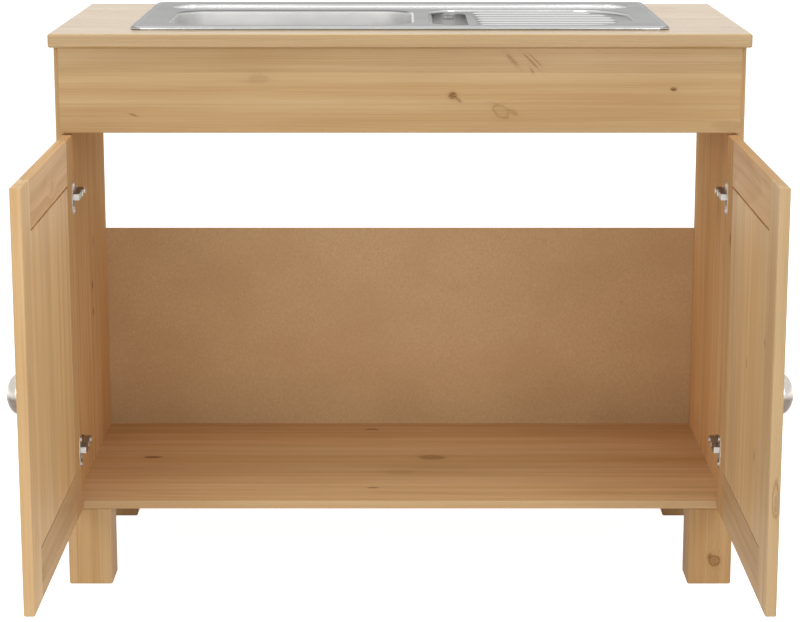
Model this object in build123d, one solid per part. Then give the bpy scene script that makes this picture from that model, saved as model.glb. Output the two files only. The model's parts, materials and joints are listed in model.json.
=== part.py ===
# Kitchen sink unit: a pine base cabinet on four square legs, two framed doors that stand
# open at 90 degrees, and an inset stainless sink with a drainer. Millimetres.
# X runs to the right, Y to the back, Z up. The origin is on the floor, in the middle of
# the whole unit with its doors open.
from build123d import *
import math
import os

os.makedirs("parts", exist_ok=True)

# ---- worktop and overall height
worktop_w = 1000.0
worktop_t = 20.0
worktop_r = 3.0          # rounding of the worktop's edges
total_h = 825.0          # floor to the worktop's upper face

# ---- cabinet body
side_overhang = 5.0      # worktop past each side panel
rear_overhang = 24.0     # worktop past the back panel
side_t = 13.0
bottom_t = 12.0
back_t = 4.0
back_h = 341.0           # the back panel closes only the lower half
back_margin = 2.0        # back panel short of the side panels' outer faces
leg_h = 118.0
leg_w = 65.0
leg_r = 3.0
rear_leg_inset = 37.0    # rear legs stand forward of the back panel
apron_t = 18.0
apron_h = 122.0
apron_inset = 5.5        # apron behind the worktop's front edge
apron_step = 8.0         # side panel seen past each end of the apron
block_w = 20.0           # glue blocks behind the apron
block_h = 90.0
stretcher_t = 18.0
stretcher_h = 80.0
stretcher_drop = 30.0    # below the worktop, room for the sink clips
board_r = 1.5            # eased edges of the boards

# ---- dowels, nails and brackets
leg_dowel_r = 4.0
leg_dowel_l = 30.0
leg_dowel_in_bottom = 8.0
leg_dowel_pitch = 30.0
side_dowel_r = 3.0
side_dowel_l = 30.0
side_dowel_in_side = 8.0
side_dowel_count = 3
side_dowel_inset = 40.0
stretcher_dowel_at = 22.0    # from the stretcher's upper and lower edges
nail_r = 0.7
nail_l = 18.0
nail_head_r = 1.6
nail_head_t = 0.6
side_nail_count = 4
bottom_nail_count = 7
nail_inset = 20.0
bracket_leg = 30.0
bracket_w = 16.0
bracket_t = 2.0
bracket_inset = 45.0
bracket_screw_at = 18.0      # from the corner, on both of the bracket's legs
bracket_screw_r = 1.75
bracket_screw_l = 12.0
bracket_head_r = 3.4
bracket_head_t = 1.8

# ---- doors
door_t = 15.0
door_mid_gap = 3.0       # between the closed doors
door_top_gap = 3.0       # under the apron
door_leg_gap = 2.5       # above the legs
stile_w = 70.0
top_rail_w = 64.0
bottom_rail_w = 70.0
frame_r = 2.5
frame_end_r = 2.0        # outer edges of the frame's ends and rails
hinge_edge_r = 3.0       # inner edge beside the hinges, rounded so that it turns clear
panel_back_step = 0.5    # panel behind the frame's inner face
panel_gap = 1.0          # panel to the stiles and the bottom rail, on the inner face
panel_top_gap = 4.0      # panel to the top rail: the panel has sunk in its grooves
panel_face_step = 1.0    # raised field behind the frame's outer face
tongue_in = 4.0          # tongue behind the frame's inner face
tongue_t = 5.0
tongue_l = 8.0
groove_play = 1.0
bevel_w = 30.0
panel_shoulder = 1.0

# ---- hinges: a single joint in a bored cup, one gooseneck arm on a mounting plate
pivot_to_edge = 8.5      # pivot axis to the door's hinge edge
pivot_to_face = 6.5      # pivot axis to the door's outer face
hinge_end = 91.0         # hinge centre to the door's end
cup_r = 13.0
cup_play = 0.05
cup_to_edge = 4.5
cup_depth = 11.5
cup_wall = 0.5
flange_t = 1.2
flange_w = 20.0
flange_h = 47.0
flange_corner_r = 7.0
flange_disc_r = 13.9
cup_screw_at = 18.5
cup_screw_r = 1.5
cup_screw_l = 10.0
cup_head_r = 2.9
cup_head_t = 1.3
pin_r = 1.25
pin_play = 0.05
lug_gap = 10.0           # between the two lugs that hold the pin
lug_t = 1.9
lug_over = 2.2
eyelet_r = 2.1
arm_w = 8.8
arm_t = 3.4
neck_reach = 16.0        # how far the gooseneck leads away from the pivot
arm_start = 11.0         # arm body behind the side panel's front edge
arm_l = 44.0
arm_body_t = 10.0
plate_rail_h = 8.0
plate_rail_w = 11.0
plate_wing_t = 3.0
plate_wing_w = 16.0
plate_wing_h = 48.0
plate_wing_at = 22.0     # wing centre behind the start of the arm body
plate_screw_at = 17.0
plate_screw_r = 1.75
plate_screw_l = 10.0
plate_head_r = 3.2
plate_head_t = 1.8
arm_screw_r = 2.0
arm_head_r = 4.0
arm_head_t = 2.2
arm_screws_at = (9.0, 36.0)

# ---- handles: a half shell open towards the hinge side
handle_from_edge = 35.0
handle_lift = 8.0        # handle's middle above the door's middle
shell_h = 54.0
shell_reach = 17.5
shell_w = 23.0
shell_t = 1.5
handle_flange_h = 62.0
handle_flange_t = 1.5
handle_flange_w = 4.0    # flange past the shell, beside it
handle_screw_at = 28.7
handle_screw_r = 1.0
handle_screw_l = 10.0
handle_head_r = 1.7
handle_head_t = 0.8
handle_screw_aside = 3.4     # screws beside the shell's open edge

# ---- sink
sink_w = 780.0
sink_d = 430.0
sink_front = 56.0        # worktop in front of the sink
sink_behind = 14.0       # worktop behind the sink
sink_corner_r = 20.0
sheet_t = 1.0
land_rise = 3.5          # the sink's land above the worktop
rim_r = 2.4
rim_w = 9.0              # raised bead round the sink's edge
rim_rise = 1.0
seal_t = 0.8
seal_w = 6.0
seal_inset = 1.0
cutout_inset = 12.0      # worktop cut-out inside the sink's outline
cutout_r = 3.0           # sawn, so nearly square
land_front = 40.0        # sink's front edge to the bowls and the drainer
land_side = 40.0         # drainer to the sink's right-hand edge
bowl_side = 44.0         # main bowl to the sink's left-hand edge
bowl_w = 368.0
bowl_behind = 23.0       # main bowl to the ledge
bowl_depth = 130.0
bowl_corner_r = 55.0
bowl_floor_r = 22.0
drain_gap = 19.0         # main bowl to the drainer's recess, which takes in the scrap bowl
drain_behind = 12.0      # drainer to the ledge
drain_depth = 5.0
drain_left_r = 45.0
drain_right_r = 90.0
scrap_inset = 6.0        # scrap bowl inside the recess
scrap_w = 56.0
scrap_depth = 70.0
scrap_end_flat = 2.0     # straight part of the scrap bowl's rounded ends
scrap_floor_r = 8.0
ledge_d = 84.0
ledge_side = 27.0        # ledge's ends and back to the sink's edges
ledge_back = 34.0
ledge_depth = 4.5
ledge_end_flat = 2.0     # straight part of the ledge's rounded ends
rib_gap = 11.0
rib_margin = 21.5        # first and last rib to the recess's walls
rib_end_flat = 1.0       # straight part of a rib's rounded ends
rib_h = 3.0
rib_starts = (10.5, 10.5, 9.5, 9.0, 7.0, 4.5)        # past the scrap bowl, front rib first
rib_ends = (34.0, 25.0, 22.5, 24.5, 31.0, 51.0)      # short of the recess's right-hand end

# ---- sink clips
clip_w = 20.0
clip_t = 1.5
clip_off = 1.5           # clip inside the cut-out's edge
clip_reach = 18.0
clip_screw_at = 11.0     # outside the cut-out's edge
clip_drop = 15.0         # clip foot below the worktop
clip_screw_r = 2.0
clip_head_r = 3.5
clip_head_t = 2.5
clip_from_end = 100.0    # outer clips to the sink's ends
clip_middle_x = -60.0

# ---- wastes
waste_flange_r = 52.0
waste_flange_t = 1.5
waste_hole_r = 42.0
waste_cup_r = 41.0
waste_cup_t = 1.0
waste_cup_depth = 15.0
outlet_r = 23.9
outlet_t = 2.5
outlet_l = 25.0
outlet_base_t = 2.0
gasket_r = 50.0
gasket_t = 1.5
nut_r = 50.0
nut_t = 6.0
nut_play = 0.2
basket_play = 2.5        # basket inside the waste's cup
basket_t = 0.8
basket_h = 13.0
basket_rim = 1.6
basket_hole_r = 2.5
basket_hole_count = 12
basket_hole_ring = 26.0
knob_r = 6.0
knob_h = 10.0
scrap_waste_r = 17.5
scrap_waste_t = 1.2
scrap_hole_r = 14.0
scrap_thread_r = 13.5
scrap_thread_l = 12.0
scrap_tube_r = 12.7
scrap_tube_t = 2.0
scrap_tube_l = 24.0
scrap_nut_r = 18.0
scrap_nut_t = 6.0
scrap_hole_count = 6
scrap_hole_ring = 6.5
scrap_drain_r = 2.0
overflow_w = 20.0
overflow_h = 7.0
overflow_t = 1.2
overflow_bulge = 2.0     # the plate's back fills the wall's curve
overflow_drop = 11.2
overflow_slot = 3.0
overflow_spigot_r = 4.5
overflow_spigot_l = 16.0

# ---- places worked out from the sizes
body_half = worktop_w / 2 - side_overhang
side_inner = body_half - side_t
apron_half = body_half - apron_step
worktop_d = sink_front + sink_d + sink_behind
door_w = apron_half - door_mid_gap / 2
pivot_behind_front = apron_inset + pivot_to_face
door_swing = door_w - pivot_to_edge
worktop_front = -(pivot_behind_front - door_swing + worktop_d) / 2
worktop_back = worktop_front + worktop_d
worktop_bottom = total_h - worktop_t
apron_front = worktop_front + apron_inset
carcass_front = apron_front + apron_t
carcass_back = worktop_back - rear_overhang - back_t
apron_bottom = worktop_bottom - apron_h
floor_top = leg_h + bottom_t
rear_leg_back = carcass_back - rear_leg_inset
stretcher_top = worktop_bottom - stretcher_drop

door_front = apron_front
door_inner = door_front + door_t
door_free = door_mid_gap / 2
door_bottom = leg_h + door_leg_gap
door_top = apron_bottom - door_top_gap
door_mid = (door_bottom + door_top) / 2
handle_z = door_mid + handle_lift
tongue_y = (door_inner - tongue_in - tongue_t, door_inner - tongue_in)

pivot_x = apron_half - pivot_to_edge
pivot_y = door_front + pivot_to_face
cup_x = apron_half - cup_to_edge - cup_r
cup_floor = door_inner - cup_depth
hinge_levels = (door_bottom + hinge_end, door_top - hinge_end)

arm_front = carcass_front + arm_start
arm_back = arm_front + arm_l
plate_face = side_inner - plate_rail_h
arm_face = plate_face - arm_body_t

land_z = total_h + land_rise
sheet_z = land_z - sheet_t
sink_y0 = worktop_front + sink_front
sink_y1 = sink_y0 + sink_d
sink_mid_y = (sink_y0 + sink_y1) / 2
cutout_half = sink_w / 2 - cutout_inset
ledge_y = (sink_y1 - ledge_back - ledge_d, sink_y1 - ledge_back)
ledge_half = sink_w / 2 - ledge_side
ledge_end_r = (ledge_d - ledge_end_flat) / 2
bowl_x = (-sink_w / 2 + bowl_side, -sink_w / 2 + bowl_side + bowl_w)
bowl_y = (sink_y0 + land_front, ledge_y[0] - bowl_behind)
drain_x = (bowl_x[1] + drain_gap, sink_w / 2 - land_side)
drain_y = (sink_y0 + land_front, ledge_y[0] - drain_behind)
rib_pitch = (drain_y[1] - drain_y[0] - 2 * rib_margin + rib_gap) / len(rib_starts)
rib_d = rib_pitch - rib_gap
rib_end_r = (rib_d - rib_end_flat) / 2
scrap_x = (drain_x[0] + scrap_inset, drain_x[0] + scrap_inset + scrap_w)
scrap_y = (drain_y[0] + scrap_inset, drain_y[1] - scrap_inset)
scrap_end_r = (scrap_w - scrap_end_flat) / 2
bowl_floor = land_z - bowl_depth
scrap_floor = land_z - scrap_depth
waste_x = sum(bowl_x) / 2
waste_y = sum(bowl_y) / 2
scrap_mid_x = sum(scrap_x) / 2
scrap_mid_y = sum(scrap_y) / 2


# ---- helpers
def block(x, y, z):
    """A box between the given pairs of limits."""
    size = (x[1] - x[0], y[1] - y[0], z[1] - z[0])
    middle = ((x[0] + x[1]) / 2, (y[0] + y[1]) / 2, (z[0] + z[1]) / 2)
    return Pos(*middle) * Box(*size)


def rod_x(x0, x1, y, z, r):
    """A round bar along X."""
    return Pos((x0 + x1) / 2, y, z) * Rot(0, 90, 0) * Cylinder(r, abs(x1 - x0))


def rod_y(y0, y1, x, z, r):
    """A round bar along Y."""
    return Pos(x, (y0 + y1) / 2, z) * Rot(90, 0, 0) * Cylinder(r, abs(y1 - y0))


def rod_z(z0, z1, x, y, r):
    """A round bar along Z."""
    return Pos(x, y, (z0 + z1) / 2) * Cylinder(r, abs(z1 - z0))


def ring_z(z0, z1, x, y, r_out, r_in):
    return rod_z(z0, z1, x, y, r_out) - rod_z(z0, z1, x, y, r_in)


def eased(board, radius=board_r):
    """A board with all its edges rounded."""
    return fillet(board.edges(), radius)


def mirrored(shape):
    return mirror(shape, about=Plane.YZ)


def both_sides(shape):
    """A shape and its mirror image, left solid first."""
    return [mirrored(shape), shape]


def rounded_slab(x, y, z, r):
    """A flat slab with rounded corners, seen from above."""
    outline = RectangleRounded(x[1] - x[0], y[1] - y[0], r)
    return Pos((x[0] + x[1]) / 2, (y[0] + y[1]) / 2, z[0]) * extrude(outline, z[1] - z[0])


def tray(x, y, depth, corner_r, floor_r, grow=0.0):
    """A hollow pressed down from the sink's land. grow makes its outer skin."""
    wide = (x[0] - grow, x[1] + grow)
    deep = (y[0] - grow, y[1] + grow)
    body = rounded_slab(wide, deep, (land_z - depth - grow, land_z), corner_r + grow)
    return round_floor(body, floor_r + grow)


def round_floor(body, r):
    """Rounds the edge between a hollow's floor and its walls."""
    return fillet(body.faces().sort_by(Axis.Z)[0].edges(), r)


def save(name, *solids):
    """One file for one node, with its separate solids in one group."""
    shape = solids[0] if len(solids) == 1 else Compound(children=list(solids))
    shape.label = name
    export_step(shape, f"parts/{name}.step")


# ---- cabinet body
def side_panel():
    board = block((side_inner, body_half), (carcass_front, carcass_back), (leg_h, worktop_bottom))
    board = eased(board)
    for dowel in side_dowels():
        board -= dowel
    for screw in plate_screws() + side_bracket_screws() + side_nails():
        board -= screw
    return board


def bottom_panel():
    board = block((-side_inner, side_inner), (carcass_front, carcass_back), (leg_h, floor_top))
    for dowel in side_dowels() + leg_dowels():
        board -= dowel
        board -= mirrored(dowel)
    for nail in bottom_nails():
        board -= nail
    return board


def back_panel():
    half = body_half - back_margin
    bottom = leg_h + back_margin
    board = block((-half, half), (carcass_back, carcass_back + back_t), (bottom, bottom + back_h))
    for nail in side_nails():
        board -= nail
        board -= mirrored(nail)
    for nail in bottom_nails():
        board -= nail
    return board


def front_apron():
    board = block((-apron_half, apron_half), (apron_front, carcass_front), (apron_bottom, worktop_bottom))
    return eased(board)


def apron_block():
    top = worktop_bottom - (apron_h - block_h) / 2
    return block((side_inner - block_w, side_inner), (carcass_front, carcass_front + block_w),
                 (top - block_h, top))


def rear_stretcher():
    board = block((-side_inner, side_inner), (carcass_back - stretcher_t, carcass_back),
                  (stretcher_top - stretcher_h, stretcher_top))
    for dowel in side_dowels():
        board -= dowel
        board -= mirrored(dowel)
    return board


def leg(y0):
    post = block((body_half - leg_w, body_half), (y0, y0 + leg_w), (0, leg_h))
    post = fillet(post.edges(), leg_r)
    for dowel in leg_dowels():
        post -= dowel
    return post


def leg_starts():
    """Front faces of the front and the rear legs."""
    return (carcass_front, rear_leg_back - leg_w)


def leg_dowels():
    """Two dowels from the bottom panel into each right-hand leg."""
    top = leg_h + leg_dowel_in_bottom
    x = side_inner - leg_w / 2 + side_t / 2
    rods = []
    for y0 in leg_starts():
        middle = y0 + leg_w / 2
        for step in (-0.5, 0.5):
            rods.append(rod_z(top - leg_dowel_l, top, x, middle + step * leg_dowel_pitch, leg_dowel_r))
    return rods


def side_dowels():
    """Dowels from the right-hand side panel into the bottom panel's and the stretcher's ends."""
    x1 = side_inner + side_dowel_in_side
    run = carcass_back - carcass_front - 2 * side_dowel_inset
    places = []
    for number in range(side_dowel_count):
        y = carcass_front + side_dowel_inset + run * number / (side_dowel_count - 1)
        places.append((y, leg_h + bottom_t / 2))
    stretcher_y = carcass_back - stretcher_t / 2
    places.append((stretcher_y, stretcher_top - stretcher_dowel_at))
    places.append((stretcher_y, stretcher_top - stretcher_h + stretcher_dowel_at))
    return [rod_x(x1 - side_dowel_l, x1, y, z, side_dowel_r) for y, z in places]


def nail(x, z):
    face = carcass_back + back_t
    return rod_y(face - nail_l, face, x, z, nail_r) + rod_y(face, face + nail_head_t, x, z, nail_head_r)


def side_nails():
    x = body_half - side_t / 2
    bottom = leg_h + back_margin + nail_inset
    run = back_h - 2 * nail_inset
    return [nail(x, bottom + run * number / (side_nail_count - 1)) for number in range(side_nail_count)]


def bottom_nails():
    z = leg_h + bottom_t / 2
    half = side_inner - nail_inset
    last = bottom_nail_count - 1
    return [nail(half * (2 * number / last - 1), z) for number in range(bottom_nail_count)]


def bracket_places():
    return (carcass_front + bracket_inset, carcass_back - bracket_inset)


def bracket(y):
    """An angle between the right-hand side panel and the worktop's underside."""
    across = (y - bracket_w / 2, y + bracket_w / 2)
    upright = block((side_inner - bracket_t, side_inner), across,
                    (worktop_bottom - bracket_leg, worktop_bottom))
    flat = block((side_inner - bracket_leg, side_inner), across,
                 (worktop_bottom - bracket_t, worktop_bottom))
    angle = upright + flat
    for screw in side_bracket_screws() + top_bracket_screws():
        angle -= screw
    return angle


def side_bracket_screws():
    z = worktop_bottom - bracket_screw_at
    face = side_inner - bracket_t
    screws = []
    for y in bracket_places():
        shank = rod_x(face, face + bracket_screw_l, y, z, bracket_screw_r)
        screws.append(shank + rod_x(face - bracket_head_t, face, y, z, bracket_head_r))
    return screws


def top_bracket_screws():
    x = side_inner - bracket_screw_at
    face = worktop_bottom - bracket_t
    screws = []
    for y in bracket_places():
        shank = rod_z(face, face + bracket_screw_l, x, y, bracket_screw_r)
        screws.append(shank + rod_z(face - bracket_head_t, face, x, y, bracket_head_r))
    return screws


def worktop():
    board = block((-worktop_w / 2, worktop_w / 2), (worktop_front, worktop_back), (worktop_bottom, total_h))
    board = eased(board, worktop_r)
    hole = rounded_slab((-cutout_half, cutout_half), (sink_y0 + cutout_inset, sink_y1 - cutout_inset),
                        (worktop_bottom, total_h), cutout_r)
    board -= hole
    for screw in top_bracket_screws():
        board -= screw
        board -= mirrored(screw)
    return board


# ---- hinges, on the right-hand side
def hinge_plate(z):
    rail = block((plate_face, side_inner), (arm_front, arm_back),
                 (z - plate_rail_w / 2, z + plate_rail_w / 2))
    middle = arm_front + plate_wing_at
    wing = block((side_inner - plate_wing_t, side_inner),
                 (middle - plate_wing_w / 2, middle + plate_wing_w / 2),
                 (z - plate_wing_h / 2, z + plate_wing_h / 2))
    plate = rail + wing
    for screw in plate_screws() + arm_screws():
        plate -= screw
    return plate


def plate_screws():
    face = side_inner - plate_wing_t
    y = arm_front + plate_wing_at
    screws = []
    for level in hinge_levels:
        for z in (level - plate_screw_at, level + plate_screw_at):
            shank = rod_x(face, side_inner + plate_screw_l, y, z, plate_screw_r)
            screws.append(shank + rod_x(face - plate_head_t, face, y, z, plate_head_r))
    return screws


def arm_screws():
    screws = []
    for level in hinge_levels:
        for step in arm_screws_at:
            y = arm_front + step
            shank = rod_x(arm_face, side_inner, y, level, arm_screw_r)
            screws.append(shank + rod_x(arm_face - arm_head_t, arm_face, y, level, arm_head_r))
    return screws


def hinge_arm(z):
    """The eyelet on the pin, the gooseneck round the door's edge, and the body on its plate."""
    height = (z - arm_w / 2, z + arm_w / 2)
    neck_x = pivot_x - neck_reach
    lead = block((neck_x, pivot_x), (pivot_y - arm_t / 2, pivot_y + arm_t / 2), height)
    neck = block((neck_x, neck_x + arm_t), (pivot_y - arm_t / 2, arm_front + arm_t), height)
    body = block((arm_face, plate_face), (arm_front, arm_back), height)
    shoulder = block((neck_x, arm_face + arm_t), (arm_front, arm_front + arm_t), height)
    eyelet = rod_z(height[0], height[1], pivot_x, pivot_y, eyelet_r)
    arm = lead + neck + body + shoulder + eyelet
    arm -= rod_z(height[0], height[1], pivot_x, pivot_y, pin_r + pin_play)
    for screw in arm_screws():
        arm -= screw
    return arm


# ---- doors: every piece is laid out on the closed right-hand door
def opened(shape):
    """Turns a piece of the closed right-hand door to its place on the open door."""
    centre = Pos(pivot_x, pivot_y, 0)
    return centre * Rot(0, 0, 90) * centre.inverse() * shape


def door_groove(x, z):
    return block(x, tongue_y, z)


def ends_eased(stile, inner):
    """Rounds a stile's ends, but not where they run on into the rails."""
    faces = stile.faces().sort_by(Axis.Z)
    ends = faces[0].edges() + faces[-1].edges()
    return fillet([edge for edge in ends if abs(edge.center().X - inner) > 0.01], frame_end_r)


def hinge_stile():
    inner = apron_half - stile_w
    board = block((inner, apron_half), (door_front, door_inner), (door_bottom, door_top))
    upright = board.edges().filter_by(Axis.Z)
    near_hinge = upright.filter_by(lambda edge: abs(edge.center().X - apron_half) < 0.01
                                   and abs(edge.center().Y - door_inner) < 0.01)
    board = fillet(near_hinge, hinge_edge_r)
    outer = board.edges().filter_by(Axis.Z).filter_by(lambda edge: abs(edge.center().Y - door_front) < 0.01)
    board = ends_eased(fillet(outer, frame_r), inner)
    board -= door_groove((inner, inner + tongue_l + groove_play), (door_bottom, door_top))
    for level in hinge_levels:
        board -= rod_y(cup_floor, door_inner, cup_x, level, cup_r)
    for screw in cup_screws():
        board -= screw
    return board


def free_stile():
    inner = door_free + stile_w
    board = block((door_free, inner), (door_front, door_inner), (door_bottom, door_top))
    free = board.edges().filter_by(Axis.Z).filter_by(lambda edge: abs(edge.center().X - door_free) < 0.01)
    board = ends_eased(fillet(free, frame_r), inner)
    board -= door_groove((inner - tongue_l - groove_play, inner), (door_bottom, door_top))
    for screw in handle_screws():
        board -= screw
    return board


def door_rail(z, outer_z, groove_z):
    inside = (door_free + stile_w, apron_half - stile_w)
    rail = block(inside, (door_front, door_inner), z)
    outer = rail.edges().filter_by(Axis.X).filter_by(lambda edge: abs(edge.center().Z - outer_z) < 0.01)
    rail = fillet(outer, frame_end_r)
    rail += block((inside[0] - tongue_l, inside[1] + tongue_l), tongue_y, z)
    return rail - door_groove((inside[0] - tongue_l, inside[1] + tongue_l), groove_z)


def top_rail():
    bottom = door_top - top_rail_w
    return door_rail((bottom, door_top), door_top, (bottom, bottom + tongue_l + groove_play))


def bottom_rail():
    top = door_bottom + bottom_rail_w
    return door_rail((door_bottom, top), door_bottom, (top - tongue_l - groove_play, top))


def panel_section(inset, y):
    """The door panel's outline, inset from the frame's opening, on a plane of constant Y."""
    x = (door_free + stile_w + inset, apron_half - stile_w - inset)
    z = (door_bottom + bottom_rail_w + inset, door_top - top_rail_w - inset)
    plane = Plane(origin=((x[0] + x[1]) / 2, y, (z[0] + z[1]) / 2), x_dir=(1, 0, 0), z_dir=(0, -1, 0))
    return plane * Rectangle(x[1] - x[0], z[1] - z[0])


def panel_back():
    """The panel's flat inner face, nearly flush with the frame."""
    x = (door_free + stile_w + panel_gap, apron_half - stile_w - panel_gap)
    z = (door_bottom + bottom_rail_w + panel_gap, door_top - top_rail_w - panel_top_gap)
    return block(x, (tongue_y[1], door_inner - panel_back_step), z)


def door_panel():
    """A flat back, a tongue in the frame all round, and a raised bevelled field outside."""
    sheet = block((door_free + stile_w - tongue_l, apron_half - stile_w + tongue_l), tongue_y,
                  (door_bottom + bottom_rail_w - tongue_l, door_top - top_rail_w + tongue_l))
    foot = panel_section(panel_shoulder, tongue_y[0])
    face = panel_section(panel_shoulder + bevel_w, door_front + panel_face_step)
    return sheet + loft([foot, face]) + panel_back()


def cup_outline(level):
    """The flange of a hinge cup: a strip with a round middle."""
    plane = Plane(origin=(cup_x, door_inner, level), x_dir=(1, 0, 0), z_dir=(0, 1, 0))
    return plane * (RectangleRounded(flange_w, flange_h, flange_corner_r) + Circle(flange_disc_r))


def hinge_cup(level):
    shell_r = cup_r - cup_play
    shell = rod_y(cup_floor, door_inner, cup_x, level, shell_r)
    cup = shell + extrude(cup_outline(level), flange_t)
    cup -= rod_y(cup_floor + cup_wall, door_inner + flange_t, cup_x, level, shell_r - cup_wall)
    lugs = []
    for side in (-1, 1):
        ends = sorted((level + side * lug_gap / 2, level + side * (lug_gap / 2 + lug_t)))
        lugs.append(block((pivot_x - eyelet_r, pivot_x + eyelet_r), (cup_floor, pivot_y + lug_over), ends))
    for lug in lugs:
        cup += lug & shell
    cup -= hinge_pin(level)
    for screw in cup_screws():
        cup -= screw
    return cup


def hinge_pin(level):
    half = lug_gap / 2 + lug_t
    return rod_z(level - half, level + half, pivot_x, pivot_y, pin_r)


def cup_screws():
    face = door_inner + flange_t
    screws = []
    for level in hinge_levels:
        for z in (level - cup_screw_at, level + cup_screw_at):
            shank = rod_y(face - cup_screw_l - flange_t, face, cup_x, z, cup_screw_r)
            screws.append(shank + rod_y(face, face + cup_head_t, cup_x, z, cup_head_r))
    return screws


def ellipsoid(x, y, z, reach):
    """An ellipsoid with the given half axes, centred on the handle's place on the door."""
    return Pos(x, y, z) * scale(Sphere(1), by=reach)


def handle():
    x = door_free + handle_from_edge
    outer = ellipsoid(x, door_front, handle_z, (shell_w, shell_reach, shell_h / 2))
    inner = ellipsoid(x, door_front, handle_z,
                      (shell_w - shell_t, shell_reach - shell_t, shell_h / 2 - shell_t))
    plane = Plane(origin=(x, door_front, handle_z), x_dir=(1, 0, 0), z_dir=(0, -1, 0))
    rim = plane * Ellipse(shell_w + handle_flange_w, handle_flange_h / 2)
    flange = extrude(rim, handle_flange_t)
    half = shell_w + handle_flange_w
    keep = block((x - half, x), (door_front - shell_reach, door_front),
                 (handle_z - handle_flange_h / 2, handle_z + handle_flange_h / 2))
    pull = ((outer + flange) & keep) - inner
    for screw in handle_screws():
        pull -= screw
    return pull


def handle_screws():
    x = door_free + handle_from_edge - handle_screw_aside
    face = door_front - handle_flange_t
    screws = []
    for z in (handle_z - handle_screw_at, handle_z + handle_screw_at):
        shank = rod_y(face, face + handle_screw_l, x, z, handle_screw_r)
        screws.append(shank + rod_y(face - handle_head_t, face, x, z, handle_head_r))
    return screws


# ---- sink
def drainer_tray(grow):
    """The drainer's recess, with larger corners at its right-hand end."""
    wide = drain_x[1] - drain_x[0] + 2 * grow
    deep = drain_y[1] - drain_y[0] + 2 * grow
    outline = Rectangle(wide, deep)
    left = outline.vertices().sort_by(Axis.X)[:2]
    outline = fillet(left, drain_left_r + grow)
    right = outline.vertices().sort_by(Axis.X)[-2:]
    outline = fillet(right, drain_right_r + grow)
    z0 = land_z - drain_depth - grow
    middle = Pos(sum(drain_x) / 2, sum(drain_y) / 2, z0)
    return round_floor(middle * extrude(outline, drain_depth + grow), drain_depth / 2 + grow)


def sink_trays(grow):
    main = tray(bowl_x, bowl_y, bowl_depth, bowl_corner_r, bowl_floor_r, grow)
    ledge = tray((-ledge_half, ledge_half), ledge_y, ledge_depth, ledge_end_r, ledge_depth / 2, grow)
    return [main, scrap_tray(grow), drainer_tray(grow), ledge]


def scrap_tray(grow):
    return tray(scrap_x, scrap_y, scrap_depth, scrap_end_r, scrap_floor_r, grow)


def drainer_ribs():
    z0 = land_z - drain_depth
    ribs = []
    for number, (start, end) in enumerate(zip(rib_starts, rib_ends)):
        y0 = drain_y[0] + rib_margin + number * rib_pitch
        ribs.append(rounded_slab((scrap_x[1] + start, drain_x[1] - end), (y0, y0 + rib_d),
                                 (z0, z0 + rib_h), rib_end_r))
    return ribs


def sink_outline(inset, z):
    """A slab with the sink's outline, drawn in by the given inset."""
    half = sink_w / 2 - inset
    return rounded_slab((-half, half), (sink_y0 + inset, sink_y1 - inset), z, sink_corner_r - inset)


def sink_rim():
    """The sink's flat land with its raised bead, hollow underneath."""
    body = sink_outline(0.0, (total_h + seal_t, land_z + rim_rise))
    body = fillet(body.faces().sort_by(Axis.Z)[-1].edges(), rim_r)
    body -= sink_outline(rim_w, (land_z, land_z + rim_rise))
    return body - sink_outline(sheet_t, (total_h + seal_t, sheet_z))


def sink():
    body = sink_rim()
    for skin in sink_trays(sheet_t):
        body += skin
    for hollow in sink_trays(0.0):
        body -= hollow
    for rib in drainer_ribs():
        body += rib
    body -= rod_z(bowl_floor - sheet_t, bowl_floor, waste_x, waste_y, waste_hole_r)
    body -= rod_z(scrap_floor - sheet_t, scrap_floor, scrap_mid_x, scrap_mid_y, scrap_hole_r)
    return body - overflow_spigot_hole()


def overflow_spigot_hole():
    y = scrap_y[1]
    return rod_y(y - sheet_t, y + 2 * sheet_t, scrap_mid_x, overflow_z(), overflow_spigot_r)


def overflow_z():
    return land_z - overflow_drop


def sink_seal():
    height = (total_h, total_h + seal_t)
    return sink_outline(seal_inset, height) - sink_outline(seal_inset + seal_w, height)


def clip_places():
    """Middle of each clip on the cut-out's edge, and the direction from the sink outwards."""
    front = sink_y0 + cutout_inset
    back = sink_y1 - cutout_inset
    row = (-sink_w / 2 + clip_from_end, clip_middle_x, sink_w / 2 - clip_from_end)
    places = [(x, front, -90) for x in row]
    places += [(x, back, 90) for x in row]
    places += [(cutout_half, sink_mid_y, 0), (-cutout_half, sink_mid_y, 180)]
    return places


def clip():
    """One clip, laid out at the origin on an edge that faces +X. Its screw bears on the worktop."""
    foot_top = worktop_bottom - clip_drop
    across = (-clip_w / 2, clip_w / 2)
    upright = block((-clip_off - clip_t, -clip_off), across, (foot_top - clip_t, sheet_z))
    foot = block((-clip_off - clip_t, clip_reach), across, (foot_top - clip_t, foot_top))
    return upright + foot - clip_screw()


def clip_screw():
    foot_bottom = worktop_bottom - clip_drop - clip_t
    x = clip_screw_at
    head = rod_z(foot_bottom - clip_head_t, foot_bottom, x, 0, clip_head_r)
    return head + rod_z(foot_bottom, worktop_bottom, x, 0, clip_screw_r)


def placed(shape):
    return [Pos(x, y, 0) * Rot(0, 0, turn) * shape for x, y, turn in clip_places()]


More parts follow.
